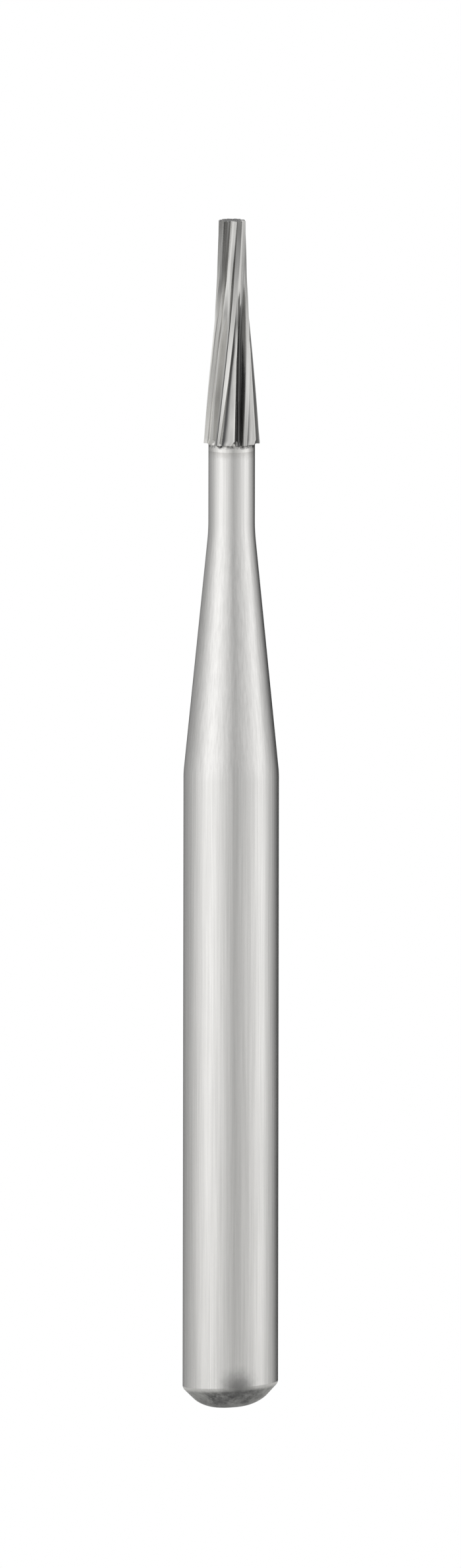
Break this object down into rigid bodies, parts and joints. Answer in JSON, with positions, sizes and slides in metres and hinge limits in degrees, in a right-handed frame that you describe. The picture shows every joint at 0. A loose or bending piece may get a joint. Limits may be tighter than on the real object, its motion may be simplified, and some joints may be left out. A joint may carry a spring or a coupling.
{
  "type": "dental bur",
  "caption": "Slim rotary cutting bit with a tapered, helically fluted head, a narrow neck, a long taper and a plain cylindrical friction-grip shank with a chamfered end.",
  "frame": {"origin": "on the axis, at the middle of the small flat on the shank's end", "axes": "+Z along the axis from the shank's end to the tip of the head, -Y toward the picture's viewer, +X to the viewer's right"},
  "size_m": [0.0016, 0.0016, 0.02],
  "materials": {
    "carbide": "ground sintered tungsten carbide, fine grinding lines along the flutes",
    "steel": "satin centreless-ground hardened stainless steel"
  },
  "bodies": {
    "root": {"carbide_head": "carbide", "steel_shank": "steel"}
  },
  "joints": []
}
